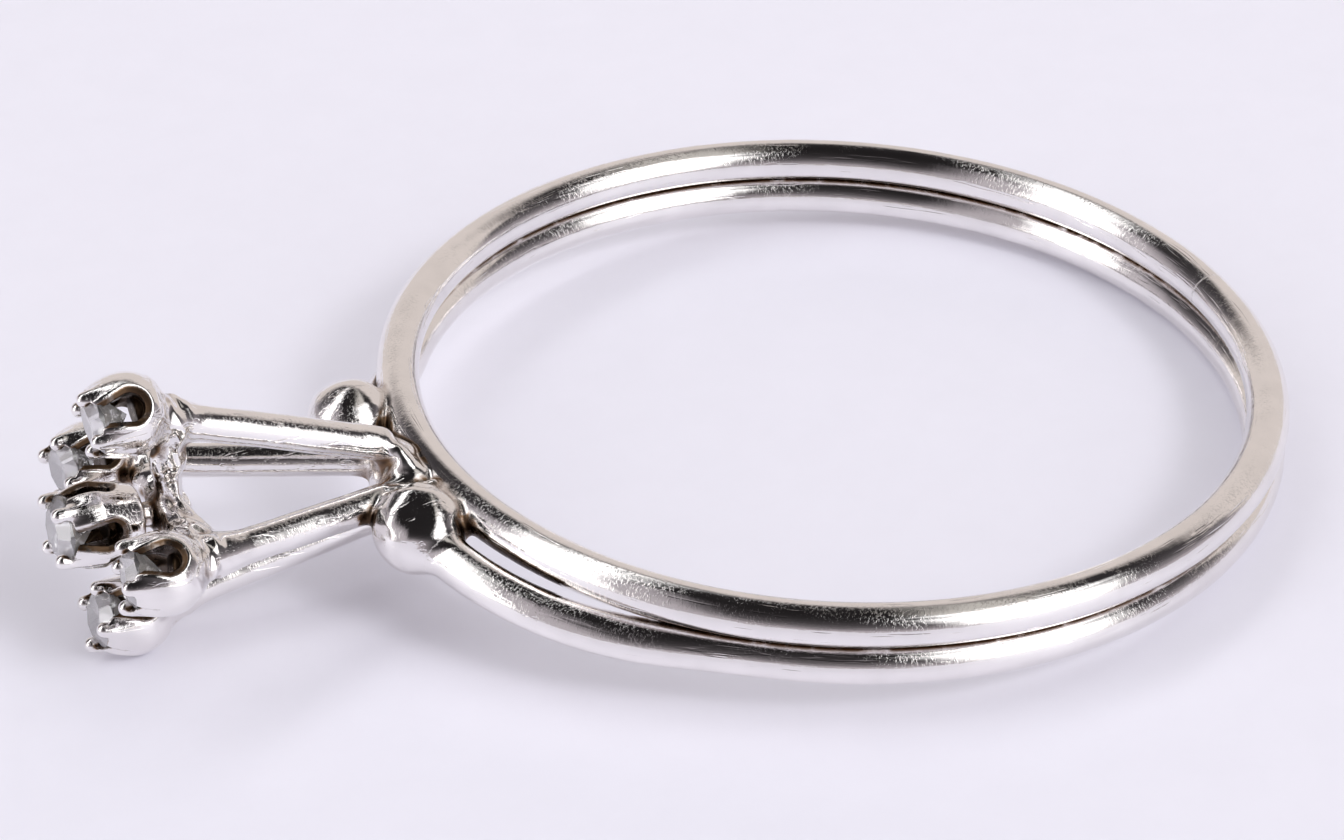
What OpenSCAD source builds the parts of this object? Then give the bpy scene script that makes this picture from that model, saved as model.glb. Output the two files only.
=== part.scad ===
// Five-stone diamond ring: a double round-wire shank, two end beads and a tall four-post cluster head.
// It lies on its side as it rests: Z is up from the surface, and the head points along -X.
// The origin is the centre of the finger hole.

/* [Shank] */
// Inside diameter of the finger hole
finger_d = 17.1; // [15:0.1:20]
// Diameter of each of the two round shank wires
wire_d = 0.88; // [0.8:0.02:1]
// How deep the two wires sink into the solder between them
solder_depth = 0.03; // [0.02:0.01:0.06]

/* [Wire ends] */
// Diameter of the polished bead on each end of the lower wire
bead_d = 1.8; // [1.5:0.05:2]
// Angle from the head where the near end leaves the circle
near_leave = 58; // [55:1:60]
// Straight run of the near end before it bends
near_run = 2.1; // [1.8:0.1:2.4]
// Bend radius of the near end
near_bend_r = 7.5; // [7:0.1:8]
// Bend angle of the near end, inwards and a little up
near_bend = 45; // [42:1:47]
// Roll of the near end's bend about the wire, which lifts its bead
near_roll = 15; // [10:1:20]
// Angle from the head where the far end leaves the circle
far_leave = 34; // [32:1:36]
// Bend radius of the far end
far_bend_r = 10.6; // [10:0.1:11.5]
// Bend angle of the far end, outwards and up
far_bend = 20.3; // [18:0.1:22]
// Roll of the far end's bend about the wire
far_roll = 123; // [115:1:130]

/* [Head] */
// Distance from the finger hole's centre to the bulge of the outer cups
cup_reach = 15.2; // [14:0.1:16]
// Distance from the finger hole's centre to the bulge of the centre cup
centre_reach = 15.85; // [15:0.05:17]
// Diameter of the four posts
post_d = 0.7; // [0.6:0.02:0.8]
// Distance of the post roots from their middle
root_spread = 0.7; // [0.66:0.02:0.8]
// How far the middle of the post roots lies below the head's axis
root_drop = 0.12; // [0:0.02:0.16]
// How far the middle of the post roots lies to the near side of the head's axis
root_near = 0.1; // [0:0.02:0.16]
// Upward lean of the head's axis against the plane of the shank
head_lean = 1.5; // [0:0.5:3]
// Turn of the whole head about its own axis
head_turn = 2.3; // [-4:0.1:4]
// Outward lean of the four outer cups; below zero they lean inwards
cup_lean = -8; // [-10:1:8]
// Height of the head's axis over the middle plane of the wires
head_lift = 0.1; // [-0.2:0.05:0.3]
// Diameter of the four arms of the cross behind the cups
cross_d = 0.6; // [0.5:0.02:0.7]

/* [Cups] */
// Largest diameter of an outer cup
cup_d = 1.66; // [1.5:0.02:1.8]
// Largest diameter of the centre cup
centre_cup_d = 1.74; // [1.6:0.02:1.9]
// Length of an outer cup in front of its bulge
cup_front = 0.74; // [0.66:0.02:0.84]
// Length of the centre cup in front of its bulge
centre_front = 0.84; // [0.76:0.02:0.94]
// Width of the round-ended windows between the prongs
window_w = 0.68; // [0.5:0.02:0.74]
// Turn of the centre cup's prongs against those of the outer cups
centre_turn = 57; // [30:1:60]

/* [Stones] */
// Girdle diameter of the four outer diamonds
stone_d = 1.24; // [1.1:0.02:1.3]
// Girdle diameter of the centre diamond
centre_stone_d = 1.34; // [1.2:0.02:1.4]
// Gap between a stone and its seat
seat_gap = 0.02; // [0.02:0.01:0.04]

/* [Hidden] */
$fn = 48;

// Outer seats: direction about the head's axis from the top, distance from the head's axis, cup's own turn
SEATS = [
    [0, 2.32, -3],   // top
    [90, 2.30, 0],   // far
    [180, 2.22, 5],  // bottom
    [270, 2.16, 12], // near
];
TURN = 0;
SPREAD = 1;
OWN_TURN = 2;
TOP = 0;
FAR = 1;
BOTTOM = 2;
NEAR = 3;

wire_r = wire_d / 2;
shank_r = finger_d / 2 + wire_r;
wire_z = wire_r - solder_depth / 2;
bead_r = bead_d / 2;
// A slight swelling of the wire where a bend starts
joint_d = 1.04 * wire_d;

// The head: where the posts root, how far they run on inside the base, and where the cross is
root_reach = shank_r + 0.72;
root_bury = 0.35;
root_middle = [-root_drop, -root_near, root_reach];
cross_reach = cup_reach - 0.8;
// Solder knots of the cross, as a part of its arms' diameter
knot_part = 1.3;

// The base lump: largest radius, foot and shoulder radii, and heights from the wires' centre circle
base_r = 0.78;
base_foot_r = 0.68;
base_shoulder_r = 0.6;
base_foot = -0.05;
base_low = 0.25;
base_high = 0.7;
base_shoulder = 1.05;
base_dip = 0.9;
// Solder between the base and each bead
tie_d = 1;
tie_spread = 1.2;

// Cup shape: the barrel's long arc, the seat, its ledge and the window's round end
barrel_r = 2;
// The centre cup's back is a cone with a flat end: its length, and how much its radius narrows along it
cone_back = 0.86;
cone_taper = 0.28;
seat_room = 0.06;
ledge_w = 0.08;
hollow_r = 0.3;
hollow_back = 0.26;
window_back = 0.36;
girdle_back = 0.17;
// How far behind the bulge of its cup a post or the centre stem ends
post_end = 0.6;
// Grains at the prong tips: radius, how far out of the girdle and how far behind the rim
grain_r = 0.1;
grain_out = 0.07;
grain_back = 0.02;

// Stone proportions, as parts of the girdle diameter
table_part = 0.6;
crown_part = 0.16;
pavilion_part = 0.46;
girdle_t = 0.03;

metal = "Silver";
diamond = "AliceBlue";

// The rest tilt: the surface touches the lower wire at the back and the bottom cup's bulge.
// Both are circles in the XZ plane, so the tangent under them gives the angle.
bottom_spread = SEATS[BOTTOM][SPREAD];
cup_x = -cup_reach * cos(head_lean) + bottom_spread * sin(head_lean);
cup_z = head_lift + cup_reach * sin(head_lean) - bottom_spread * cos(head_lean);
rest_dx = shank_r - cup_x;
rest_dz = -wire_z - cup_z;
rest_tilt = atan2(rest_dz, rest_dx) + asin((cup_d / 2 - wire_r) / norm([rest_dx, rest_dz]));

// A round rod between two points
module rod(from, to, d) {
    line = to - from;
    translate(from)
        rotate([0, acos(line[2] / norm(line)), atan2(line[1], line[0])])
            cylinder(h = norm(line), d = d);
}

// Turns the ring from the plane of its wires into the attitude in which it rests
module at_rest() {
    rotate([0, rest_tilt, 0]) children();
}

// Head frame: Z runs out along the head's axis, X points to the top cup and Y to the far cup
module on_head() {
    translate([0, 0, head_lift])
        rotate([0, head_lean - 90, 0])
            rotate([0, 0, head_turn])
                children();
}

// Puts a child on an outer seat, with the seat's outward lean
module on_seat(seat) {
    rotate([0, 0, seat[TURN]])
        translate([seat[SPREAD], 0, cup_reach])
            rotate([0, cup_lean, 0])
                rotate([0, 0, seat[OWN_TURN]])
                    children();
}

module on_centre() {
    translate([0, 0, centre_reach]) rotate([0, 0, centre_turn]) children();
}

// The whole upper wire
module upper_wire() {
    translate([0, 0, wire_z]) rotate_extrude($fn = 180) translate([shank_r, 0]) circle(d = wire_d);
}

// The lower wire runs round the back, from one leaving point to the other
module lower_wire() {
    translate([0, 0, -wire_z])
        rotate([0, 0, 180 + near_leave])
            rotate_extrude(angle = 360 - near_leave - far_leave, $fn = 180)
                translate([shank_r, 0]) circle(d = wire_d);
}

// One end of the lower wire: a straight run along the tangent, a rolled bend and the bead
module wire_end(leave, run, bend_r, bend, roll) {
    rotate([0, 0, 180 + leave]) translate([shank_r, 0, -wire_z]) {
        sphere(d = joint_d);
        if (run > 0) {
            rotate([90, 0, 0]) cylinder(h = run, d = wire_d);
            translate([0, -run, 0]) sphere(d = joint_d);
        }
        translate([0, -run, 0]) rotate([0, roll, 0]) translate([-bend_r, 0, 0]) rotate([0, 0, -bend]) {
            rotate_extrude(angle = bend, $fn = 180) translate([bend_r, 0]) circle(d = wire_d);
            translate([bend_r, 0, 0]) sphere(r = bead_r);
        }
    }
}

// The direction of a seat from the head's axis
function outwards(seat) = [cos(seat[TURN]), sin(seat[TURN]), 0];

// Where a post stands at a height along the head's axis: on the straight line from its root to its cup
function post_point(seat, reach) =
    let (
        root = root_middle + root_spread * outwards(seat),
        end = seat[SPREAD] * outwards(seat) + [0, 0, cup_reach]
    )
    root + (end - root) * (reach - root_reach) / (cup_reach - root_reach);

// Four flaring posts, from inside the base to inside the backs of the cups
module posts() {
    for (seat = SEATS)
        rod(post_point(seat, root_reach - root_bury), post_point(seat, cup_reach - post_end), post_d);
}

// The cross that ties the posts behind the cups, and the stem of the centre cup on its hub
module cross() {
    hub = [0, 0, cross_reach];
    for (seat = SEATS) {
        rod(hub, post_point(seat, cross_reach), cross_d);
        translate(post_point(seat, cross_reach)) sphere(d = knot_part * cross_d);
    }
    translate(hub) sphere(d = knot_part * cross_d);
    rod(hub, [0, 0, centre_reach - post_end], cross_d);
}

// The base: a soldered lump on the wires from which the posts grow, tied to both beads
module base() {
    lump = [
        [0, base_foot],
        [base_foot_r, base_foot],
        [base_r, base_low],
        [base_r, base_high],
        [base_shoulder_r, base_shoulder],
        [0, base_dip],
    ];
    translate([-root_drop, -root_near, shank_r]) rotate_extrude() polygon(lump);
    for (side = [-1, 1])
        translate([0, side * tie_spread, root_reach]) sphere(d = tie_d);
}

// Outer form of a cup about its bulge: a round back, or a cone of the given length, and a barrel front
module cup_form(d, front, back) {
    rotate_extrude() {
        if (back > 0)
            polygon([[0, -back], [d / 2 - cone_taper * back, -back], [d / 2, 0], [0, 0]]);
        else
            intersection() {
                circle(d = d);
                translate([0, -d / 2]) square([d / 2, d / 2]);
            }
        intersection() {
            translate([d / 2 - barrel_r, 0]) circle(r = barrel_r, $fn = 180);
            square([d / 2, front]);
        }
    }
}

// The hollow of a cup: a straight seat for the girdle, a ledge under it and a cone towards the back
module cup_hollow(d, front, girdle_d) {
    seat_r = girdle_d / 2 + seat_gap;
    seat_z = front - girdle_back - seat_room;
    hollow = [
        [0, hollow_back - d / 2],
        [hollow_r, hollow_back - d / 2],
        [seat_r - ledge_w, seat_z - ledge_w],
        [seat_r, seat_z],
        [seat_r, front + 1],
        [0, front + 1],
    ];
    rotate_extrude() polygon(hollow);
}

// A pair of crossing round-ended slots leaves four prongs
module cup_windows(d, front) {
    end_z = window_back + window_w / 2 - d / 2;
    for (turn = [45, 135])
        rotate([0, 0, turn]) {
            translate([0, 0, end_z]) rotate([90, 0, 0]) cylinder(h = 2 * d, d = window_w, center = true);
            translate([-window_w / 2, -d, end_z]) cube([window_w, 2 * d, front + d]);
        }
}

// A cup with its four prongs, each with a small grain over the girdle
module cup(d, front, girdle_d, back = 0) {
    difference() {
        cup_form(d, front, back);
        cup_hollow(d, front, girdle_d);
        cup_windows(d, front);
    }
    for (turn = [0:90:270])
        rotate([0, 0, turn])
            translate([girdle_d / 2 + grain_out, 0, front - grain_back]) sphere(r = grain_r, $fn = 24);
}

// All soldered metal: the shank, its beads and the head
module soldered_mount() {
    color(metal) at_rest() {
        upper_wire();
        lower_wire();
        wire_end(near_leave, near_run, near_bend_r, near_bend, near_roll);
        mirror([0, 1, 0]) wire_end(far_leave, 0, far_bend_r, far_bend, far_roll);
        on_head() {
            base();
            posts();
            cross();
            for (seat = SEATS) on_seat(seat) cup(cup_d, cup_front, stone_d);
            on_centre() cup(centre_cup_d, centre_front, centre_stone_d, cone_back);
        }
    }
}

// A single-cut diamond about its girdle: a table, eight crown facets and eight pavilion facets
module single_cut(d) {
    crown_h = crown_part * d;
    pavilion_h = pavilion_part * d;
    flat_to_corner = 1 / cos(180 / 8);
    rim = flat_to_corner * d / 2;
    intersection() {
        cylinder(h = 4 * d, d = d, center = true);
        union() {
            translate([0, 0, girdle_t / 2])
                cylinder(h = crown_h, r1 = rim, r2 = table_part * rim, $fn = 8);
            translate([0, 0, -girdle_t / 2]) cylinder(h = girdle_t, r = rim, $fn = 8);
            translate([0, 0, -girdle_t / 2 - pavilion_h])
                cylinder(h = pavilion_h, r1 = 0, r2 = rim, $fn = 8);
        }
    }
}

// A stone in one of the outer seats
module seated_stone(seat) {
    color(diamond) at_rest() on_head() on_seat(seat)
        translate([0, 0, cup_front - girdle_back]) single_cut(stone_d);
}

module stone_centre() {
    color(diamond) at_rest() on_head() on_centre()
        translate([0, 0, centre_front - girdle_back]) single_cut(centre_stone_d);
}

module stone_top() { seated_stone(SEATS[TOP]); }
module stone_far() { seated_stone(SEATS[FAR]); }
module stone_bottom() { seated_stone(SEATS[BOTTOM]); }
module stone_near() { seated_stone(SEATS[NEAR]); }

soldered_mount();
stone_centre();
stone_top();
stone_far();
stone_bottom();
stone_near();
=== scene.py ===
"""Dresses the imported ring: round band wires, soldered head, cups, diamonds and the studio round them.

Shapes are worked out in the ring's own frame, in millimetres: the band's middle plane is XY, the head points
along -X, and the near bead is on the -Y side. They are laid at rest and turned into metres at the end.
"""

import bpy
import numpy as np
from bpy.props import FloatProperty, FloatVectorProperty, PointerProperty
from mathutils import Matrix, Vector


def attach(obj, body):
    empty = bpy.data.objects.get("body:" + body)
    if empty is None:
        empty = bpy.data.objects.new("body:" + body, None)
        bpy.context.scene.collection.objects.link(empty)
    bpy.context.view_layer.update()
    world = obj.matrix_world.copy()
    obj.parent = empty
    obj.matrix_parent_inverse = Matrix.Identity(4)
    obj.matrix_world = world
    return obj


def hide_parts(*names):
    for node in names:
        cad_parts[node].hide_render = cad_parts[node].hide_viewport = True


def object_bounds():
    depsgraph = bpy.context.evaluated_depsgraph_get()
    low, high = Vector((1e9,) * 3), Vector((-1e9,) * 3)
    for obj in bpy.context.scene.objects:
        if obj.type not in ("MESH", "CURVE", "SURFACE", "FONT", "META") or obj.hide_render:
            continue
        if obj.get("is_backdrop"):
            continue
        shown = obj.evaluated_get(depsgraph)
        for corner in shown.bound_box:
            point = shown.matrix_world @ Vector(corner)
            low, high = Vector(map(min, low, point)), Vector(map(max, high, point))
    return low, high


bl_info = {
    "name": "Diamond Cluster Ring",
    "version": (1, 0, 0),
    "blender": (4, 5, 0),
    "location": "View3D > Sidebar > Ring",
    "description": "Builds the visible surfaces of a five-stone ring over its packed solids",
    "category": "Object",
}

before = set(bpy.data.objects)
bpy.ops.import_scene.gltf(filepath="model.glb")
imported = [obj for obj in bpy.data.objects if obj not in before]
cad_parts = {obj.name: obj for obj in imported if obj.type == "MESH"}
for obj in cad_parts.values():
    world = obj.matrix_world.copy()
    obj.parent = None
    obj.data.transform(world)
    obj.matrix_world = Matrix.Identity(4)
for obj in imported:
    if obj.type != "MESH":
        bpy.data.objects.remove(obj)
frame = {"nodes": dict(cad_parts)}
cad_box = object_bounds()

MM = 0.001
MOUNT = "soldered_mount"
STONES = ("stone_centre", "stone_top", "stone_far", "stone_bottom", "stone_near")

# Outer seats: name, direction about the head's axis from the top, distance from the head's axis, cup's own turn
SEATS = (("top", 0, 2.32, -3), ("far", 90, 2.30, 0), ("bottom", 180, 2.22, 5), ("near", 270, 2.16, 12))

# Where one piece of the mount hands over to the next, and how it dips under its neighbour there
HAND_OVER = 0.25
DIP = 0.012
JOINT_HALF_ANGLE = 30
POST_CUT = 11.0
ARM_WIDTH = 0.9

# How far the conical back of the centre cup reaches behind its bulge
CENTRE_BACK = 0.84

# The base: places in the head's frame from the middle of the post roots, with radii for its lump and solder blobs
LUMP = (-0.14, 0.0, -0.02, 0.54)
BLOBS = ((0.72, -0.36, 0.04, 0.10), (0.52, -0.52, -0.02, 0.12), (0.42, 0.12, 0.00, 0.30),
         (0.1, -0.5, 0.05, 0.32), (0.2, 0.55, 0.0, 0.30))
SLOPE = ((0.28, -0.10, -0.15), (0.22, -0.68, -0.27))
SLOPE_RADIUS = 0.22
RIDGE = ((0.26, -0.96, 0.48), (0.33, -1.11, 0.12), (0.43, -1.23, -0.33))
RIDGE_RADIUS = 0.09

# The solder round the foot of each post, in the order of SEATS: radius, and how much of the root's height it keeps
FEET = ((0.24, 0.6), (0.38, 0.85), (0.38, 0.85), (0.38, 0.85))

# Solder webs from the upper wire to the near and the far wire end: side, degrees from the head where each starts,
# radius. Each reaches one point of its end's arc, which is told in ARC_POINTS points.
WEBS = ((-1, 10.5, 0.27), (1, 12.5, 0.27))
WEB_REACHES = 106
ARC_POINTS = 120

# The hammered flat on the near bead: the way that it faces, and its distance from the middle in bead radii
BEAD_FLAT = (-0.24, -0.466, 0.85)
FLAT_OFF = 0.87

# Cell sizes of the soldered pieces
JOINT_CELL = 0.036
HEAD_CELL = 0.03


# Sizes and colours that a user would change


def length(name, description, default):
    """A length property whose default is given in millimetres."""
    return FloatProperty(name=name, description=description, default=default * MM, precision=5,
                         subtype="DISTANCE", unit="LENGTH")


def angle(name, description, default):
    """An angle property whose default is given in degrees."""
    return FloatProperty(name=name, description=description, default=float(np.radians(default)),
                         subtype="ANGLE", unit="ROTATION")


def colour(name, description, default):
    """A colour property."""
    return FloatVectorProperty(name=name, description=description, default=default, size=3,
                               min=0, max=1, subtype="COLOR")


class RING_PG_band(bpy.types.PropertyGroup):
    finger_hole: length("Finger hole", "Inside diameter of the finger hole", 17.1)
    wire: length("Wire", "Diameter of each round band wire", 0.88)
    solder_depth: length("Solder depth", "How deep the two wires sink into their solder", 0.03)
    bead: length("Bead", "Diameter of the bead on each end of the lower wire", 1.8)
    near_leave: angle("Near leave", "Angle from the head where the near end leaves the circle", 58)
    near_run: length("Near run", "Straight run of the near end before it bends", 2.1)
    near_bend_radius: length("Near bend radius", "Bend radius of the near end", 7.5)
    near_bend: angle("Near bend", "Bend angle of the near end", 45)
    near_roll: angle("Near roll", "Roll of the near end's bend about the wire", 15)
    far_leave: angle("Far leave", "Angle from the head where the far end leaves the circle", 34)
    far_bend_radius: length("Far bend radius", "Bend radius of the far end", 10.6)
    far_bend: angle("Far bend", "Bend angle of the far end", 20.3)
    far_roll: angle("Far roll", "Roll of the far end's bend about the wire", 123)


class RING_PG_head(bpy.types.PropertyGroup):
    cup_reach: length("Cup reach", "From the finger hole's centre to the bulge of the outer cups", 15.2)
    centre_reach: length("Centre reach", "From the finger hole's centre to the bulge of the centre cup", 15.85)
    post: length("Post", "Diameter of the posts", 0.70)
    root_spread: length("Root spread", "Distance of the post roots from their middle", 0.70)
    root_drop: length("Root drop", "How far the middle of the post roots lies below the head's axis", 0.12)
    root_near: length("Root shift", "How far the middle of the post roots lies to the near side", 0.10)
    lean: angle("Lean", "Upward lean of the head's axis", 1.5)
    turn: angle("Turn", "Turn of the head about its own axis", 2.3)
    cup_lean: angle("Cup lean", "Outward lean of the outer cups", -8)
    lift: length("Lift", "Height of the head's axis over the band's middle plane", 0.1)
    cross: length("Cross", "Diameter of the arms of the cross behind the cups", 0.6)
    cup: length("Cup", "Largest diameter of an outer cup", 1.66)
    centre_cup: length("Centre cup", "Largest diameter of the centre cup", 1.74)
    cup_front: length("Cup front", "Length of an outer cup in front of its bulge", 0.74)
    centre_front: length("Centre front", "Length of the centre cup in front of its bulge", 0.84)
    window: length("Window", "Width of the outer cups' windows over their sunk frames", 0.84)
    centre_window: length("Centre window", "Width of the centre cup's windows over their sunk frames", 0.7)
    centre_turn: angle("Centre turn", "Turn of the centre cup's prongs", 57)
    stone: length("Stone", "Girdle diameter of the outer diamonds", 1.24)
    centre_stone: length("Centre stone", "Girdle diameter of the centre diamond", 1.34)


class RING_PG_finish(bpy.types.PropertyGroup):
    metal: colour("Metal", "Colour of the polished white metal", (0.92, 0.895, 0.88))
    # The old solder's colour; darkened to a quarter, it is also the painted shade of the most enclosed metal
    tarnish_and_shade: colour("Tarnish", "Colour of the old solder in the crevices", (0.24, 0.15, 0.09))
    diamond: colour("Diamond", "Tint of the diamonds", (0.95, 0.95, 0.94))
    floor: colour("Floor", "Colour of the pale surface", (0.80, 0.79, 0.87))


class RING_PG_studio(bpy.types.PropertyGroup):
    overhead: FloatProperty(name="Overhead", description="Strength of the soft light on the surface",
                            default=1.42, min=0)
    softbox: FloatProperty(name="Softboxes", description="Brightness of the light shapes that the metal mirrors",
                           default=2.4, min=0)
    lens: FloatProperty(name="Lens", description="Focal length of the camera", default=113.154,
                        subtype="DISTANCE_CAMERA")


# Places and turns


def turn_matrix(axis, degrees):
    """The right-handed rotation about x, y or z."""
    c, s = np.cos(np.radians(degrees)), np.sin(np.radians(degrees))
    rows = {"x": ((1, 0, 0), (0, c, -s), (0, s, c)),
            "y": ((c, 0, s), (0, 1, 0), (-s, 0, c)),
            "z": ((c, -s, 0), (s, c, 0), (0, 0, 1))}
    return np.array(rows[axis], float)


class Place:
    """An origin and three axes in the ring's frame; moves and turns follow each other as they do in a CAD source."""

    def __init__(self, origin=(0, 0, 0), axes=None):
        self.origin = np.array(origin, float)
        self.axes = np.eye(3) if axes is None else axes

    def moved(self, x, y, z):
        """The place that lies x, y, z further along its own axes."""
        return Place(self.origin + self.axes @ np.array((x, y, z), float), self.axes)

    def turned(self, axis, degrees):
        """The place turned about one of its own axes."""
        return Place(self.origin, self.axes @ turn_matrix(axis, degrees))

    def local(self, points):
        """Points of the ring's frame, told in this place's axes."""
        return (points - self.origin) @ self.axes

    def out(self, points):
        """Points of this place's axes, told in the ring's frame."""
        return np.asarray(points, float) @ self.axes.T + self.origin


# Distances


def smooth_min(a, b, blend):
    """The smaller of two distances, with a rounded fillet where they are closer than blend to each other."""
    near = np.maximum(blend - np.abs(a - b), 0) / blend
    return np.minimum(a, b) - near * near * blend / 4


def smooth_max(a, b, blend):
    """The larger of two distances, with a rounded edge where they are closer than blend to each other."""
    return -smooth_min(-a, -b, blend)


def ball(points, centre, radius):
    """Distance to a ball: the length from its centre, less the radius."""
    return np.linalg.norm(points - centre, axis=1) - radius


def rod(points, start, end, radius):
    """Distance to a round-ended rod: from each point to the nearest point of its middle line, less the radius."""
    line = end - start
    along = np.clip((points - start) @ line / (line @ line), 0, 1)
    return np.linalg.norm(points - start - along[:, None] * line, axis=1) - radius


def bent_rod(points, radius, half_angle, thickness):
    """Distance to a rod bent on a circle about z, from -half_angle to half_angle of the x axis."""
    a = np.clip(np.arctan2(points[:, 1], points[:, 0]), -half_angle, half_angle)
    middle = radius * np.stack((np.cos(a), np.sin(a), np.zeros_like(a)), 1)
    return np.linalg.norm(points - middle, axis=1) - thickness


def ripple(points, size, seed):
    """A smooth wander of about -1 to 1: the mean of sines in random directions, with waves about size long."""
    random = np.random.default_rng(seed)
    directions = random.normal(size=(3, 10))
    waves = directions / np.linalg.norm(directions, axis=0) * random.uniform(0.6, 1.5, 10) * 2 * np.pi / size
    return np.sin(points @ waves + random.uniform(0, 2 * np.pi, 10)).mean(1) * 2.2


def hump(value, middle, half_width):
    """1 at the middle, falling smoothly to 0 at half_width on either side."""
    t = np.clip(1 - np.abs(value - middle) / half_width, 0, 1)
    return t * t * (3 - 2 * t)


class Cup:
    """One cup: its place, with Z out along its axis, and its sizes."""

    barrel = 1.4
    taper = 0.28
    back_wall = 0.50
    window_back = 0.41
    narrows = 0.45
    frame = 0.135
    frame_slope = 0.5
    core = 0.43
    core_top = -0.12
    core_back = -0.3
    hollow_back = 0.22
    grain = 0.15
    grain_in = 0.03
    grain_out = 0.02
    girdle_back = 0.17
    gap = 0.02
    notch = 0.38
    notch_front = 0.5

    def __init__(self, place, diameter, front, girdle, window, back, main=0):
        """Where main is 1 or -1, that one of the two slots is wide and the other a notch; 0 makes both wide."""
        self.main = main
        self.place, self.radius, self.front, self.back = place, diameter / 2, front, back
        self.seat_radius, self.window = girdle / 2 + self.gap, window / 2
        self.seat = front - self.girdle_back - 0.06
        self.tip_spread = girdle / 2 + 0.02

    def surface(self, z):
        """Radius of the outer surface along the axis: a barrel front, and a round or a conical back."""
        front = self.radius - self.barrel + np.sqrt(np.maximum(self.barrel ** 2 - z * z, 0))
        if self.back:
            return np.where(z < 0, self.radius + self.taper * z, front)
        return np.where(z < 0, np.sqrt(np.maximum(self.radius ** 2 - z * z, 0)), front)

    def outer(self, points):
        """The outer form: the turned surface with its flat rim, and four thickened prongs."""
        q = self.place.local(points)
        spread, z = np.hypot(q[:, 0], q[:, 1]), q[:, 2]
        side = np.hypot(spread - self.radius + self.barrel, z) - self.barrel
        if self.back:
            back = smooth_max((spread - self.radius - self.taper * z) * 0.96, -z - self.back, 0.16)
        else:
            back = np.hypot(spread, z) - self.radius
        body = smooth_max(np.where(z < 0, back, side), z - self.front, 0.12)
        prong = rod(self.folded(q), np.array((self.radius - 0.2, 0, 0.1)),
                    np.array((self.tip_spread, 0, self.front - 0.1)), 0.14)
        return smooth_min(body, prong, 0.12)

    def folded(self, q):
        """The four quarters of the cup laid over the prong on X."""
        a, b = np.abs(q[:, 0]), np.abs(q[:, 1])
        return np.stack((np.maximum(a, b), np.minimum(a, b), q[:, 2]), 1)

    def slot(self, q, sign):
        """One slot: its half width at each height, its round end's height, and how far points lie off its middle."""
        z = q[:, 2]
        narrow = self.main not in (0, sign)
        window = self.window * (self.notch if narrow else 1)
        half = window * (1 - self.narrows * np.clip(z / self.front, 0, 1))
        end = self.window_back + window - self.radius + self.notch_front * narrow
        across = np.abs(q[:, 0] + sign * q[:, 1]) / np.sqrt(2)
        return half, end, across, np.where(z < end, np.hypot(across, z - end), across)

    def windows(self, q):
        """Distance to the two crossing round-ended slots between the prongs, each with a flat sunk frame."""
        z, found = q[:, 2], np.full(len(q), 9.0)
        for sign in (1, -1):
            half, end, across, off = self.slot(q, sign)
            deep = np.abs(q[:, 0] - sign * q[:, 1]) / np.sqrt(2)
            out = half / np.maximum(off, 0.05)
            rim_z = np.where(z < end, end + (z - end) * out, z)
            rim = np.sqrt(np.maximum(self.surface(rim_z) ** 2 - (across * out) ** 2, 0.04))
            sunk = np.maximum(off - half, 0.94 * (rim - self.frame_slope * (half - off) - deep))
            found = np.minimum(found, np.minimum(off - half + self.frame, sunk))
        return found

    def hollow_radius(self, z):
        """Radius of the hollow along the axis: a cone that widens to the stone's seat, then a straight bore."""
        floor = self.back_wall - self.radius
        return np.interp(z, (floor, self.seat - 0.1, self.seat, self.front + 1),
                         (self.hollow_back, self.seat_radius - 0.09, self.seat_radius, self.seat_radius))

    def carved(self, body, points):
        """The body less the hollow cone with its seat, and less the windows, which leave a core behind the stone."""
        q = self.place.local(points)
        spread, z = np.hypot(q[:, 0], q[:, 1]), q[:, 2]
        hollow = smooth_max(spread - self.hollow_radius(z), self.back_wall - self.radius - z, 0.08)
        body = smooth_max(smooth_max(body, -hollow, 0.04), -self.windows(q), 0.05)
        core = smooth_max(smooth_max(spread - self.core, z - self.core_top, 0.12), self.core_back - z, 0.05)
        return np.minimum(body, core)

    def grains(self, points):
        """A small bead at each prong tip, pushed over the edge of the stone."""
        middle = np.array((self.tip_spread - self.grain_in, 0, self.front + self.grain_out))
        return ball(self.folded(self.place.local(points)), middle, self.grain)

    def inside(self, points):
        """How much painted shade the metal gets, near black with some brown: 1 inside the cup behind the stone, 0.9
        on the wide windows' frames, else 0.
        """
        q = self.place.local(points)
        spread, z = np.hypot(q[:, 0], q[:, 1]), q[:, 2]
        under = np.clip((self.surface(z) - spread - 0.15) / 0.1, 0, 1) * (z > -self.radius) * (spread < self.radius)
        under = under * np.clip((self.seat + 0.05 - z) / 0.1, 0, 1)
        framed = np.zeros(len(q))
        for sign in (1, -1):
            half, end, across, off = self.slot(q, sign)
            if self.main in (0, sign):
                framed = np.maximum(framed, np.clip((half - off) / 0.04, 0, 1))
        framed = framed * (z < self.front - 0.1) * (spread < self.radius + 0.1) * (z > -self.radius)
        return np.maximum(under, 0.9 * framed)


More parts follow.
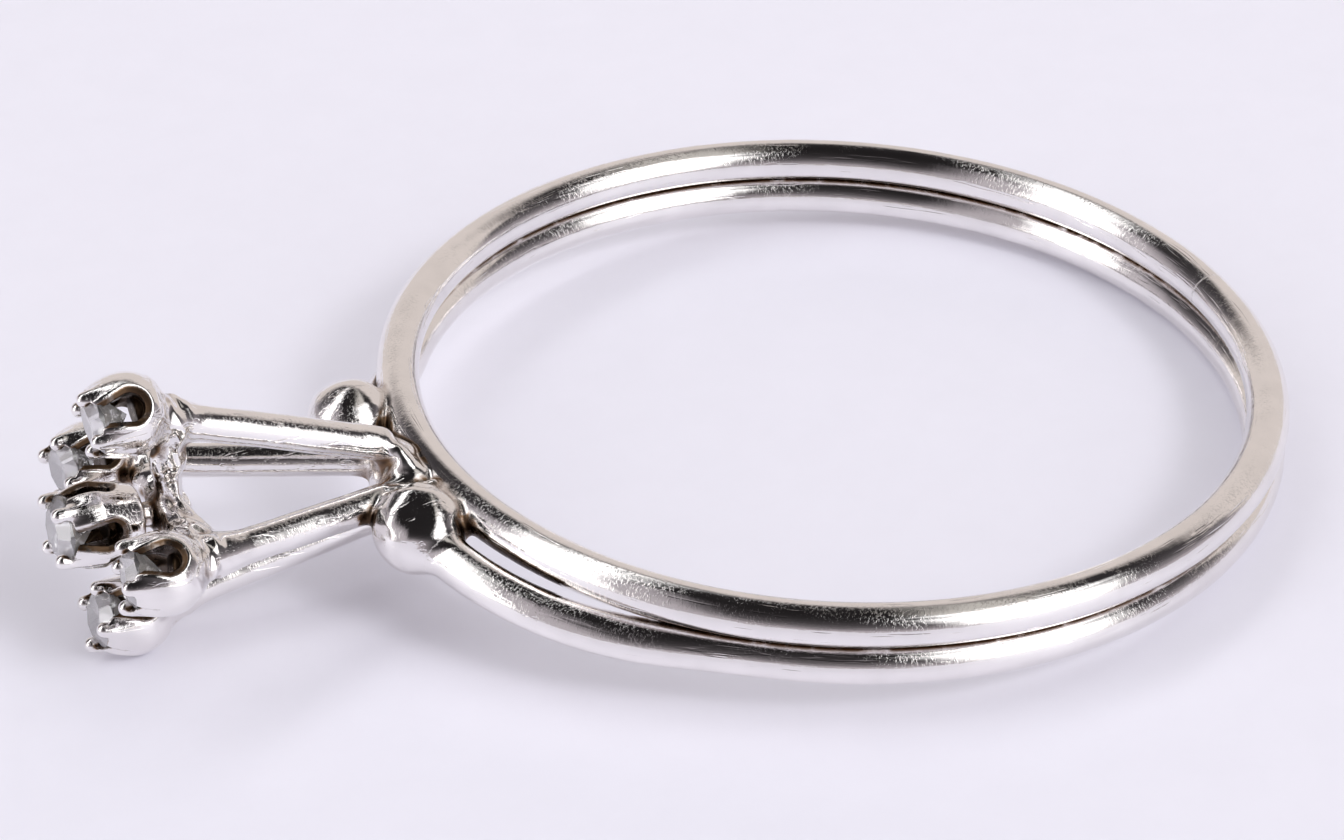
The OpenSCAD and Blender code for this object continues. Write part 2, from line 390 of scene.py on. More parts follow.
class RingShape:
    """Every size of the ring in millimetres, and the distance from any points to its soldered metal."""

    # Widths of the fillets where pieces are fused
    wire_fillet = 0.05
    near_bead_fillet = 0.3
    far_bead_fillet = 0.2
    post_fillet = 0.30
    foot_fillet = 0.3
    blob_fillet = 0.2
    slope_fillet = 0.42
    base_fillet = 0.28
    band_fillet = 0.24
    top_post_fillet = 0.05
    ridge_fillet = 0.10
    web_fillet = 0.26

    # How far out the top post is cut past the others, and how far out the solder stands round each foot
    top_post_cut = 0.08
    foot_out = 0.02

    def __init__(self, band, head):
        self.wire = band.wire / MM / 2
        self.ring = band.finger_hole / MM / 2 + self.wire
        self.height = self.wire - band.solder_depth / MM / 2
        self.bead = band.bead / MM / 2
        self.near_end = self.wire_end(1, band.near_leave, band.near_run, band.near_bend_radius,
                                      band.near_bend, band.near_roll)
        self.far_end = self.wire_end(-1, band.far_leave, 0, band.far_bend_radius, band.far_bend, band.far_roll)
        self.circle_from = 180 + np.degrees(band.near_leave)
        self.circle_to = 540 - np.degrees(band.far_leave)

        lean, turn = np.degrees(head.lean), np.degrees(head.turn)
        self.cup_reach, self.centre_reach = head.cup_reach / MM, head.centre_reach / MM
        self.post, self.cross = head.post / MM / 2, head.cross / MM / 2
        self.root_spread, self.root_reach = head.root_spread / MM, self.ring + 0.72
        self.root_middle = np.array((-head.root_drop / MM, -head.root_near / MM, self.root_reach))
        self.cross_reach = self.cup_reach - 0.8
        self.head = Place().moved(0, 0, head.lift / MM).turned("y", lean - 90).turned("z", turn)
        window = head.window / MM
        self.cups = [
            Cup(self.head.turned("z", direction).moved(spread, 0, self.cup_reach)
                .turned("y", np.degrees(head.cup_lean)).turned("z", turn),
                head.cup / MM, head.cup_front / MM, head.stone / MM, window, 0,
                main=1 if direction % 180 == 0 else -1)
            for _, direction, spread, turn in SEATS
        ]
        self.centre_cup = Cup(self.head.moved(0, 0, self.centre_reach).turned("z", np.degrees(head.centre_turn)),
                              head.centre_cup / MM, head.centre_front / MM, head.centre_stone / MM,
                              head.centre_window / MM, CENTRE_BACK)

        # At rest the lower wire's back and the bottom cup's bulge touch the surface
        spread, lean = SEATS[2][2], np.radians(lean)
        cup_x = spread * np.sin(lean) - self.cup_reach * np.cos(lean)
        cup_z = head.lift / MM + self.cup_reach * np.sin(lean) - spread * np.cos(lean)
        dx, dz = self.ring - cup_x, -self.height - cup_z
        drop = np.arcsin((head.cup / MM / 2 - self.wire) / np.hypot(dx, dz))
        self.rest_tilt = np.degrees(np.arctan2(dz, dx) + drop)

    def wire_end(self, side, leave, run, bend_radius, bend, roll):
        """One end of the lower wire: where it leaves the circle, where its run ends, its bend and its bead."""
        run, bend_radius, bend = run / MM, bend_radius / MM, np.degrees(bend)
        start = Place(axes=np.diag((1.0, side, 1.0))).turned("z", 180 + np.degrees(leave)) \
            .moved(self.ring, 0, -self.height)
        bend_place = start.moved(0, -run, 0).turned("y", np.degrees(roll)).moved(-bend_radius, 0, 0)
        a = np.radians(-bend * np.linspace(0, 1, ARC_POINTS))
        arc = bend_place.out(bend_radius * np.stack((np.cos(a), np.sin(a), np.zeros_like(a)), 1))
        return {"start": start.origin, "run_end": arc[0], "bead": arc[-1], "arc": arc,
                "middle": bend_place.turned("z", -bend / 2), "radius": bend_radius, "half": np.radians(bend / 2)}

    def rest(self, points):
        """Lays points of the ring's frame on the surface, in metres."""
        return points @ turn_matrix("y", self.rest_tilt).T * MM

    def off_head(self, points):
        """Angle round the finger hole from the head, in degrees, the same on both sides."""
        return np.degrees(np.abs(np.arctan2(points[:, 1], -points[:, 0])))

    def upper_wire(self, points):
        """Distance to the closed wire: how far from its circle in plan and in height, less the wire's radius."""
        spread = np.hypot(points[:, 0], points[:, 1]) - self.ring
        return np.hypot(spread, points[:, 2] - self.height) - self.wire

    def lower_wire(self, points):
        """Distance to the open wire: the nearest of its circle, its two bent ends and the near end's run."""
        half = np.radians(self.circle_to - self.circle_from) / 2
        circle = Place().moved(0, 0, -self.height).turned("z", (self.circle_from + self.circle_to) / 2)
        found = bent_rod(circle.local(points), self.ring, half, self.wire)
        for end in (self.near_end, self.far_end):
            found = np.minimum(found, bent_rod(end["middle"].local(points), end["radius"], end["half"], self.wire))
        return np.minimum(found, rod(points, self.near_end["start"], self.near_end["run_end"], self.wire))

    def post_point(self, seat, reach):
        """Where a post's middle line stands at a reach along the head's axis, in the head's frame."""
        a = np.radians(SEATS[seat][1])
        out = np.array((np.cos(a), np.sin(a), 0))
        root, end = self.root_middle + self.root_spread * out, SEATS[seat][2] * out + (0, 0, self.cup_reach)
        return root + (end - root) * (reach - self.root_reach) / (self.cup_reach - self.root_reach)

    def posts(self, q):
        """The four posts, cut square at their roots, in the head's frame."""
        found = None
        for seat in range(4):
            one = rod(q, self.post_point(seat, self.root_reach - 0.3), self.post_point(seat, self.cup_reach - 0.6),
                      self.post)
            cut = self.root_reach + self.top_post_cut * (seat == 0)
            one = smooth_max(one, cut - q[:, 2], 0.2)
            found = one if found is None else smooth_min(found, one, self.post_fillet)
        return found

    def cross_arms(self, q):
        """Lumpy soldered arms from a hub to the posts, with knots where they meet."""
        hub = np.array((0, 0, self.cross_reach))
        found = ball(q, hub, 1.25 * self.cross)
        for seat in range(4):
            knot = self.post_point(seat, self.cross_reach)
            found = smooth_min(found, rod(q, hub, knot, 0.95 * self.cross), 0.2)
            found = smooth_min(found, ball(q, hub + (knot - hub) * 0.55, 1.15 * self.cross), 0.15)
            found = smooth_min(found, ball(q, knot, 1.2 * self.cross), 0.2)
        web = rod(q, hub, self.post_point(3, self.cross_reach - 0.6), 0.5 * self.cross)
        return smooth_min(found, web, 0.45)

    def base(self, q):
        """The fused solder lump on the band from which the posts rise, with the posts' feet, blobs and a slope."""
        lump = ball(q, self.root_middle + LUMP[:3], LUMP[3])
        for seat, (radius, kept) in enumerate(FEET):
            foot = self.post_point(seat, self.root_reach + self.foot_out) * (kept, 0.85, 1)
            lump = smooth_min(lump, ball(q, foot, radius), self.foot_fillet)
        for x, y, z, radius in BLOBS:
            lump = smooth_min(lump, ball(q, self.root_middle + (x, y, z), radius), self.blob_fillet)
        slope = rod(q, self.root_middle + SLOPE[0], self.root_middle + SLOPE[1], SLOPE_RADIUS)
        return smooth_min(lump, slope, self.slope_fillet)

    def ridge(self, q):
        """The wavy edge of the solder that has run onto the near bead."""
        places = [self.root_middle + place for place in RIDGE]
        found = rod(q, places[0], places[1], RIDGE_RADIUS)
        return smooth_min(found, rod(q, places[1], places[2], RIDGE_RADIUS), 0.06) + 0.02 * ripple(q, 0.35, 17)

    def uneven(self, q):
        """How far hand work and solder lift the head's surface: smoothly at the base, in long drips at the cross."""
        base = hump(q[:, 2], self.root_reach, 1.1)
        cross = hump(q[:, 2], self.cross_reach - 0.02, 0.62)
        drips = q * (0.5, 0.5, 1)
        return base * (0.025 * ripple(q, 0.75, 3) + 0.006 * ripple(q, 0.3, 5)) \
            + cross * (0.045 * ripple(drips, 0.36, 4) + 0.010 * ripple(drips, 0.17, 6)) + 0.006 * ripple(q, 0.9, 8)

    def hammered_bead(self, points):
        """The near bead: a ball with small dents in its upper half, cut by one uneven flat."""
        middle = self.near_end["bead"]
        dented = np.clip((points[:, 2] - middle[2] - 0.1) / 0.3, 0, 1)
        bead = ball(points, middle, self.bead) + 0.01 * ripple(points, 0.8, 13)
        bead = bead + 0.018 * dented * ripple(points, 0.5, 19)
        flat = (points - middle) @ np.array(BEAD_FLAT) - FLAT_OFF * self.bead + 0.015 * ripple(points, 0.5, 15)
        return smooth_max(bead, flat, 0.12)

    def joint_metal(self, points):
        """Band wires, beads, base, solder webs and the feet of the posts, all fused."""
        q = self.head.local(points)
        far_bead = ball(points, self.far_end["bead"], self.bead) + 0.01 * ripple(points, 0.8, 14)
        found = smooth_min(self.upper_wire(points), self.lower_wire(points), self.wire_fillet)
        found = smooth_min(found, self.hammered_bead(points), self.near_bead_fillet)
        found = smooth_min(found, far_bead, self.far_bead_fillet)
        uneven = self.uneven(q)
        standing = smooth_min(self.posts(q), self.base(q), self.base_fillet) + uneven
        at_top_post = np.clip((q[:, 0] - self.root_middle[0] - 0.30) / 0.25, 0, 1)
        fillet = self.band_fillet + (self.top_post_fillet - self.band_fillet) * at_top_post
        found = smooth_min(found, standing, fillet)
        found = smooth_min(found, self.ridge(q), self.ridge_fillet)
        for end, (side, off, radius) in zip((self.near_end, self.far_end), WEBS):
            a = np.radians(180 - side * off)
            on_wire = np.array((self.ring * np.cos(a), self.ring * np.sin(a), self.height - 0.2))
            web = rod(points, on_wire, end["arc"][WEB_REACHES], radius) + uneven
            found = smooth_min(found, web, self.web_fillet)
        return found

    def head_metal(self, points, cup):
        """Posts, cross and one cup, all fused, with the cup's hollow and windows cut out and its grains set."""
        q = self.head.local(points)
        body = smooth_min(self.posts(q), self.cross_arms(q), 0.4)
        if cup is self.centre_cup:
            hub = np.array((0, 0, self.cross_reach))
            stem = rod(q, hub, np.array((0, 0, self.centre_reach - 0.5)), 0.25)
            body = smooth_min(smooth_min(body, stem, 0.08), cup.outer(points), 0.05)
        else:
            body = smooth_min(body, cup.outer(points), 0.14)
        body = cup.carved(body + self.uneven(q), points)
        return smooth_min(body, cup.grains(points), 0.05)

    def beyond_joint(self, points):
        """How far points lie outside the stretch of the ring that the soldered joint piece shows."""
        q = self.head.local(points)
        return np.maximum(q[:, 2] - POST_CUT, (self.off_head(points) - JOINT_HALF_ANGLE) * np.pi / 180 * self.ring)

    def beyond_arm(self, points, seat):
        """How far points lie outside the stretch of the head that one post and its cup show."""
        q = self.head.turned("z", SEATS[seat][1]).local(points)
        inner = self.arm_spread(seat, q[:, 2]) - ARM_WIDTH - q[:, 0]
        return np.maximum(np.maximum(POST_CUT - q[:, 2], inner), (np.abs(q[:, 1]) - q[:, 0]) * 0.707)

    def arm_spread(self, seat, reach):
        """How far from the head's axis the middle of an arm stands: along its post, then straight on past it."""
        along = (np.minimum(reach, self.cup_reach) - self.root_reach) / (self.cup_reach - self.root_reach)
        return self.root_spread + (SEATS[seat][2] - self.root_spread) * along

    def beyond_centre(self, points):
        """How far points lie outside the middle of the head: beyond the inner side of any arm."""
        q = self.head.local(points)
        found = 12 - q[:, 2]
        for seat in range(4):
            a = np.radians(SEATS[seat][1])
            inner = self.arm_spread(seat, q[:, 2]) - ARM_WIDTH
            found = np.maximum(found, q[:, 0] * np.cos(a) + q[:, 1] * np.sin(a) - inner)
        return found


def handed_over(distance, beyond):
    """Keeps a piece to its own stretch: past it the surface dips under its neighbour's, and then it ends."""
    dip = DIP * np.clip(beyond / HAND_OVER, 0, 1) ** 2
    return np.maximum(distance + dip, beyond - HAND_OVER)


# Meshes


def add_mesh(name, vertices, quads, caps=(), vectors=None, values=None, normals=None):
    """A shaded mesh object in metres, from whole arrays: quads and a few larger caps, with its attributes."""
    sizes = [4] * len(quads) + [len(c) for c in caps]
    loops = np.concatenate([quads.ravel()] + [np.asarray(c) for c in caps]).astype(np.int32)
    mesh = bpy.data.meshes.new(name)
    mesh.vertices.add(len(vertices))
    mesh.vertices.foreach_set("co", vertices.astype(np.float32).ravel())
    mesh.loops.add(len(loops))
    mesh.loops.foreach_set("vertex_index", loops)
    mesh.polygons.add(len(sizes))
    mesh.polygons.foreach_set("loop_start", np.concatenate(([0], np.cumsum(sizes)[:-1])).astype(np.int32))
    mesh.update(calc_edges=True)
    mesh.validate()
    mesh.shade_smooth()
    if vectors is not None:
        layer = mesh.attributes.new("flow", "FLOAT_VECTOR", "POINT")
        layer.data.foreach_set("vector", vectors.astype(np.float32).ravel())
    if values is not None:
        layer = mesh.attributes.new("tarnish_and_shade", "FLOAT", "POINT")
        layer.data.foreach_set("value", values.astype(np.float32))
    if normals is not None:
        mesh.normals_split_custom_set_from_vertices(normals.tolist())
    piece = bpy.data.objects.new(name, mesh)
    bpy.context.scene.collection.objects.link(piece)
    return piece


def grid_quads(rows, columns, closed):
    """Quads between neighbouring rows of a grid whose columns close; the rows close too where asked."""
    r = np.arange(rows if closed else rows - 1)[:, None]
    c = np.arange(columns)[None, :]
    nr, nc = (r + 1) % rows, (c + 1) % columns
    return np.stack((r * columns + c, nr * columns + c, nr * columns + nc, r * columns + nc), -1).reshape(-1, 4)


def tube(path, radius, sides, closed):
    """A round wire: at each point of the path, a circle square to it, whose first spoke points up.

    Point = path + radius (cos v * up + sin v * side), where up is +Z less its part along the path, and side
    is the path's direction crossed with up.
    """
    if closed:
        ahead = np.roll(path, -1, 0) - np.roll(path, 1, 0)
    else:
        ahead = np.gradient(path, axis=0)
    ahead /= np.linalg.norm(ahead, axis=1)[:, None]
    up = np.array((0, 0, 1.0)) - ahead * ahead[:, 2:3]
    up /= np.linalg.norm(up, axis=1)[:, None]
    side = np.cross(ahead, up)
    v = np.linspace(0, 2 * np.pi, sides, endpoint=False)[None, :, None]
    spokes = np.cos(v) * up[:, None] + np.sin(v) * side[:, None]
    return path[:, None] + radius[:, None, None] * spokes, spokes


CORNERS = np.array([(i, j, k) for i in (0, 1) for j in (0, 1) for k in (0, 1)])
EDGES = [(a, b) for a in range(8) for b in range(a + 1, 8) if np.abs(CORNERS[a] - CORNERS[b]).sum() == 1]


def level_surface(distance, low, high, cell):
    """The closed surface on which distance(points) is zero, as vertices, quads and normals.

    Space is cut into small cubes. A cube that the surface crosses gets one vertex, the mean of the places where
    its edges cross zero, and each crossed edge gets the quad that joins the four cubes round it. Then every vertex
    slides along the surface towards the mean of its neighbours, and back onto zero down the distance's slope.
    """
    low = np.asarray(low, float)
    block = 4
    blocks = np.ceil((np.asarray(high) - low) / (block * cell)).astype(int)
    centres = np.stack(np.meshgrid(*[(np.arange(n) + 0.5) * block - 0.5 for n in blocks], indexing="ij"), -1)
    middle = distance(low + cell * centres.reshape(-1, 3)).reshape(blocks)
    near = np.abs(middle) < block * cell * 1.15
    grow = lambda a: a.repeat(block, 0).repeat(block, 1).repeat(block, 2)
    field = grow(np.sign(middle).astype(np.float32))
    nodes = np.argwhere(grow(near))
    for part in np.array_split(nodes, max(1, len(nodes) // 300000)):
        field[part[:, 0], part[:, 1], part[:, 2]] = distance(low + cell * part)

    inside = field < 0
    n = np.array(field.shape) - 1
    count = np.zeros(n, np.int8)
    for i, j, k in CORNERS:
        count += inside[i:n[0] + i, j:n[1] + j, k:n[2] + k]
    crossed = (count > 0) & (count < 8)
    number = np.full(n, -1, np.int32)
    number[crossed] = np.arange(crossed.sum())
    cubes = np.argwhere(crossed)
    values = [field[tuple((cubes + corner).T)] for corner in CORNERS]
    total, hits = np.zeros((len(cubes), 3)), np.zeros(len(cubes))
    for a, b in EDGES:
        crosses = (values[a] < 0) != (values[b] < 0)
        share = np.where(crosses, values[a] / np.where(crosses, values[a] - values[b], 1), 0)
        total += crosses[:, None] * (CORNERS[a] + share[:, None] * (CORNERS[b] - CORNERS[a]))
        hits += crosses
    points = low + cell * (cubes + total / hits[:, None])

    quads = []
    for axis in range(3):
        b, c = (axis + 1) % 3, (axis + 2) % 3
        lower, upper = [slice(None)] * 3, [slice(None)] * 3
        lower[axis], upper[axis] = slice(0, -1), slice(1, None)
        here = inside[tuple(lower)]
        nodes = np.argwhere(here != inside[tuple(upper)])
        ends_inside = here[tuple(nodes.T)]
        steps = np.zeros((4, 3), int)
        steps[:, b], steps[:, c] = (-1, 0, 0, -1), (-1, -1, 0, 0)
        ring = np.stack([number[tuple((nodes + s).T)] for s in steps], 1)
        quads.append(np.where(ends_inside[:, None], ring, ring[:, ::-1]))
    quads = np.concatenate(quads)

    starts, ends = quads.ravel(), np.roll(quads, -1, 1).ravel()
    starts, ends = np.concatenate((starts, ends)), np.concatenate((ends, starts))
    weight = np.bincount(starts, minlength=len(points))
    for turn in range(6):
        if turn < 4:
            mean = np.stack([np.bincount(starts, points[ends, i], len(points)) for i in range(3)], 1)
            mean = mean / weight[:, None]
            _, slope = value_and_slope(distance, points, 0.2 * cell)
            normal = slope / np.linalg.norm(slope, axis=1)[:, None]
            move = mean - points
            points = points + 0.6 * (move - normal * (move * normal).sum(1)[:, None])
        value, slope = value_and_slope(distance, points, 0.2 * cell)
        step = value / np.maximum((slope ** 2).sum(1), 0.25)
        points = points - slope * np.clip(step, -cell, cell)[:, None]
    _, slope = value_and_slope(distance, points, 0.3 * cell)
    return points, quads, slope / np.linalg.norm(slope, axis=1)[:, None]


def value_and_slope(distance, points, reach):
    """The distance and its gradient, from four samples at the corners of a small tetrahedron."""
    offsets = np.array(((1, -1, -1), (-1, -1, 1), (-1, 1, -1), (1, 1, 1)), float)
    samples = [distance(points + reach * o) for o in offsets]
    slope = sum(s[:, None] * o for s, o in zip(samples, offsets)) / (4 * reach)
    return sum(samples) / 4, slope


def crevice(distance, points, normals):
    """How enclosed each point is, 0 on open metal: metal met sooner than it should be on the way straight out. It
    turns the metal brown and, where most enclosed, into painted shade.
    """
    closed = sum(1 - distance(points + reach * normals) / reach for reach in (0.10, 0.20, 0.34)) / 3
    return np.clip(closed / 0.6, 0, 1)


def soldered_piece(name, shape, distance, low, high, cell, flow, cup=None):
    """A piece of the mount from its distance: its level surface, laid at rest, with its two attributes."""
    points, quads, normals = level_surface(distance, low, high, cell * (1))
    # Brown tarnish in crevices, and painted shade where the metal is most enclosed or lies inside a cup
    tarnish_and_shade = crevice(distance, points, normals)
    if cup:
        tarnish_and_shade = np.maximum(tarnish_and_shade, cup.inside(points))
    return add_mesh(name, shape.rest(points), quads, vectors=flow(points), values=tarnish_and_shade,
                    normals=normals @ turn_matrix("y", shape.rest_tilt).T)


def finish_piece(piece, material):
    """Gives a piece of the mount its metal, hangs it on the root body, and hides the imported mount."""
    piece.data.materials.append(material)
    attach(piece, "root")
    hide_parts(MOUNT)


def shape_of(context):
    """The ring's shape from the sizes in the scene's properties."""
    return RingShape(context.scene.ring_band, context.scene.ring_head)


# Materials


class Shader:
    """Adds nodes to a node tree; an input is given a value, or the output that it is joined to."""

    def __init__(self, tree):
        self.tree = tree
        tree.nodes.clear()

    def add(self, kind, inputs=(), output=0, **settings):
        node = self.tree.nodes.new(kind)
        for key, value in settings.items():
            setattr(node, key, value)
        for key, value in dict(inputs).items():
            if isinstance(value, bpy.types.NodeSocket):
                self.tree.links.new(value, node.inputs[key])
            else:
                node.inputs[key].default_value = value
        return node.outputs[output]

    def math(self, operation, a, b=0.0, clamp=False):
        return self.add("ShaderNodeMath", {0: a, 1: b}, operation=operation, use_clamp=clamp)

    def ramp(self, value, low, high, to_low=0.0, to_high=1.0):
        return self.add("ShaderNodeMapRange", {"Value": value, "From Min": low, "From Max": high,
                                               "To Min": to_low, "To Max": to_high})

    def smooth(self, value, low, high):
        return self.add("ShaderNodeMapRange", {"Value": value, "From Min": low, "From Max": high},
                        interpolation_type="SMOOTHSTEP")

    def mix(self, factor, a, b):
        node = self.tree.nodes.new("ShaderNodeMix")
        node.data_type = "RGBA"
        for socket, value in ((node.inputs[0], factor), (node.inputs[6], a), (node.inputs[7], b)):
            if isinstance(value, bpy.types.NodeSocket):
                self.tree.links.new(value, socket)
            else:
                socket.default_value = value
        return node.outputs[2]

    def noise(self, vector, scale, detail=2.0, roughness=0.5):
        return self.add("ShaderNodeTexNoise", {"Vector": vector, "Scale": scale, "Detail": detail,
                                               "Roughness": roughness})


def rgba(c):
    """A colour with full cover."""
    return (c[0], c[1], c[2], 1.0)


def new_material(name):
    material = bpy.data.materials.new(name)
    material.use_nodes = True
    return material, Shader(material.node_tree)


def white_metal(finish):
    """Polished white metal: streaks along the wires, hairlines across them, small pits, brown old solder, and painted
    shade, near black, in the most enclosed places.
    """
    material, s = new_material("white_metal")
    place = s.add("ShaderNodeTexCoord", output="Object")
    flow = s.add("ShaderNodeAttribute", output="Vector", attribute_name="flow")
    closed = s.add("ShaderNodeAttribute", output="Fac", attribute_name="tarnish_and_shade")

    drawn = s.noise(flow, 13.0, 3.0, 0.6)
    grooves = s.ramp(s.noise(flow, 7.0, 2.0, 0.6), 0.60, 0.66)
    grain = s.noise(place, 8500.0, 3.0, 0.6)
    hatch = s.noise(s.add("ShaderNodeMapping", {"Vector": place, "Rotation": (0.15, -0.1, 0.0),
                                                "Scale": (19000.0, 19000.0, 1700.0)}), 1.0, 3.0, 0.65)
    scratches = s.ramp(hatch, 0.52, 0.66)
    patches = s.ramp(s.noise(place, 620.0, 2.0), 0.40, 0.66)
    waves = s.noise(place, 1300.0, 2.0, 0.5)
    pit_cells = s.add("ShaderNodeTexVoronoi", {"Vector": place, "Scale": 4300.0}, output="Distance")
    pit_here = s.ramp(s.noise(place, 1900.0, 1.0), 0.56, 0.64)
    pits = s.math("MULTIPLY", s.ramp(pit_cells, 0.0, 0.25, 1.0, 0.0), pit_here)

    height = s.math("MULTIPLY", drawn, 0.0026)
    height = s.math("SUBTRACT", height, s.math("MULTIPLY", grooves, 0.004))
    height = s.math("ADD", height, s.math("MULTIPLY", grain, s.ramp(patches, 0.0, 1.0, 0.0002, 0.0008)))
    height = s.math("ADD", height, s.math("MULTIPLY", scratches, s.ramp(patches, 0.0, 1.0, 0.0014, 0.0001)))
    height = s.math("ADD", height, s.math("MULTIPLY", waves, 0.006))
    height = s.math("SUBTRACT", height, s.math("MULTIPLY", pits, 0.002))
    bump = s.add("ShaderNodeBump", {"Height": height, "Strength": 1.0, "Distance": MM}, output="Normal")

    blotches = s.noise(place, 2600.0, 3.0, 0.6)
    brown = s.math("MULTIPLY", s.ramp(closed, 0.32, 0.7), s.ramp(blotches, 0.30, 0.50), clamp=True)
    # Painted shade: the most enclosed metal (deep crevices, inside the cups behind the stones, the window frames) is
    # darkened to a quarter of the tarnish colour, near black
    painted_shade = s.ramp(closed, 0.70, 0.95)
    tone = s.mix(s.ramp(waves, 0.3, 0.7), rgba(finish.metal), rgba([c * 0.93 for c in finish.metal]))
    shade = s.mix(brown, tone, rgba(finish.tarnish_and_shade))
    shade = s.mix(painted_shade, shade, rgba([c * 0.25 for c in finish.tarnish_and_shade]))
    rough = s.math("ADD", s.ramp(drawn, 0.35, 0.75, 0.04, 0.10), s.math("MULTIPLY", brown, 0.3))
    surface = s.add("ShaderNodeBsdfPrincipled", {"Base Color": shade, "Metallic": 1.0, "Roughness": rough,
                                                 "Normal": bump})
    s.tree.links.new(surface, s.tree.nodes.new("ShaderNodeOutputMaterial").inputs["Surface"])
    return material


def cut_diamond(finish):
    """Clear faceted diamond, slightly cloudy, with a painted grey shade on facets facing the ring and a painted pale
    glare on those facing out.
    """
    material, s = new_material("cut_diamond")
    place = s.add("ShaderNodeTexCoord", output="Object")
    facing = s.add("ShaderNodeTexCoord", output="Normal")
    cloud = s.noise(place, 2600.0, 3.0, 0.6)
    tint = s.mix(s.ramp(cloud, 0.35, 0.7), rgba(finish.diamond), rgba([c * 0.96 for c in finish.diamond]))
    polish = s.ramp(s.noise(place, 9000.0, 2.0), 0.4, 0.8, 0.0, 0.03)
    clear = s.add("ShaderNodeBsdfPrincipled", {"Base Color": tint, "Roughness": polish, "IOR": 2.417,
                                               "Transmission Weight": 1.0})
    # Painted light and shade: an opaque grey layer on facets facing the ring and a pale glare on facets facing out,
    # mixed in by facet direction
    painted_grey_shade = s.add("ShaderNodeBsdfPrincipled", {"Base Color": (0.62, 0.59, 0.56, 1), "Roughness": 0.3, "IOR": 1.6})
    painted_glare = s.add("ShaderNodeBsdfPrincipled", {"Base Color": (0.93, 0.91, 0.95, 1), "Roughness": 0.2, "IOR": 1.6})
    back = s.add("ShaderNodeVectorMath", {0: facing, 1: (1, 0, 0)}, operation="DOT_PRODUCT", output="Value")
    cover = s.add("ShaderNodeMixShader", {0: s.ramp(back, -0.2, 0.2), 1: painted_glare, 2: painted_grey_shade})
    slant = s.add("ShaderNodeVectorMath", {0: facing, 1: (0.0, 0.6, 0.8)}, operation="DOT_PRODUCT", output="Value")
    amount = s.math("MULTIPLY", s.ramp(s.math("ABSOLUTE", back), 0.25, 0.45), s.ramp(slant, -0.6, 0.6, 0.45, 0.14))
    surface = s.add("ShaderNodeMixShader", {0: amount, 1: clear, 2: cover})
    s.tree.links.new(surface, s.tree.nodes.new("ShaderNodeOutputMaterial").inputs["Surface"])
    return material


def pale_surface(finish):
    """A matt pale board with a faint grain."""
    material, s = new_material("pale_surface")
    place = s.add("ShaderNodeTexCoord", output="Object")
    grain = s.noise(place, 900.0, 3.0, 0.6)
    tone = s.mix(s.ramp(grain, 0.3, 0.7), rgba(finish.floor), rgba([c * 0.985 for c in finish.floor]))
    surface = s.add("ShaderNodeBsdfPrincipled", {"Base Color": tone, "Roughness": 0.45,
                                                 "Specular IOR Level": 0.5})
    s.tree.links.new(surface, s.tree.nodes.new("ShaderNodeOutputMaterial").inputs["Surface"])
    return material


# Operators


class RING_OT_band(bpy.types.Operator):
    """The two round band wires, the lower one with its ends led up past the head"""

    bl_idname = "ring.band"
    bl_label = "Band wires"

    def execute(self, context):
        shape = shape_of(context)
        metal = metal_of(context)
        a = np.linspace(0, 2 * np.pi, 1200, endpoint=False)
        upper = np.stack((shape.ring * np.cos(a), shape.ring * np.sin(a), np.full_like(a, shape.height)), 1)
        a = np.radians(np.linspace(shape.circle_from, shape.circle_to, 900))
        circle = np.stack((shape.ring * np.cos(a), shape.ring * np.sin(a), np.full_like(a, -shape.height)), 1)
        steps = np.linspace(0, 1, 44, endpoint=False)[1:, None]
        run = shape.near_end["run_end"] * (1 - steps) + shape.near_end["start"] * steps
        lower = np.concatenate((shape.near_end["arc"][::-1], run, circle, shape.far_end["arc"][1:]))
        for name, path, closed, other in (("upper_wire", upper, True, shape.lower_wire),
                                          ("lower_wire", lower, False, shape.upper_wire)):
            self.wire(shape, metal, name, path, closed, other)
        return {"FINISHED"}

    def wire(self, shape, metal, name, path, closed, other):
        """A tube along the path; near the head it dips a hair under the soldered joint piece."""
        sides = 40
        past = (JOINT_HALF_ANGLE - shape.off_head(path)) * np.pi / 180 * shape.ring
        radius = shape.wire - DIP * np.clip(past / HAND_OVER, 0, 1) ** 2
        surface, spokes = tube(path, radius, sides, closed)
        points, normals = surface.reshape(-1, 3), spokes.reshape(-1, 3)
        points = points + normals * (0.003 * ripple(points, 2.5, 21) * np.clip(-past.repeat(sides), 0, 1))[:, None]
        rows = len(path)
        caps = () if closed else (np.arange(sides), np.arange(rows * sides)[-sides:][::-1])
        along = np.concatenate(([0], np.cumsum(np.linalg.norm(np.diff(path, axis=0), axis=1))))
        v = np.linspace(0, 2 * np.pi, sides, endpoint=False)
        flow = np.stack((shape.wire * np.cos(v)[None].repeat(rows, 0), shape.wire * np.sin(v)[None].repeat(rows, 0),
                         along[:, None].repeat(sides, 1) * 0.07), -1).reshape(-1, 3)
        quads = outward(points, grid_quads(rows, sides, closed), normals)
        # Where the wire lies close to the other one: brown tarnish, and painted shade in the crease between them
        tarnish_and_shade = np.clip(1 - other(points) / 0.16, 0, 1)
        piece = add_mesh(name, shape.rest(points), quads, caps, flow, tarnish_and_shade)
        finish_piece(piece, metal)


def outward(points, quads, normals):
    """Turns all quads over if the first of them faces inwards."""
    a, b, c = points[quads[0, 0]], points[quads[0, 1]], points[quads[0, 2]]
    return quads if np.cross(b - a, c - a) @ normals[quads[0, 0]] > 0 else quads[:, ::-1]


def metal_of(context):
    """The one metal that all pieces of the mount share."""
    return bpy.data.materials.get("white_metal") or white_metal(context.scene.ring_finish)


def head_flow(shape):
    """Streak coordinates of the head: across the posts as they are, drawn out along them."""
    return lambda points: shape.head.local(points) * (1, 1, 0.08)


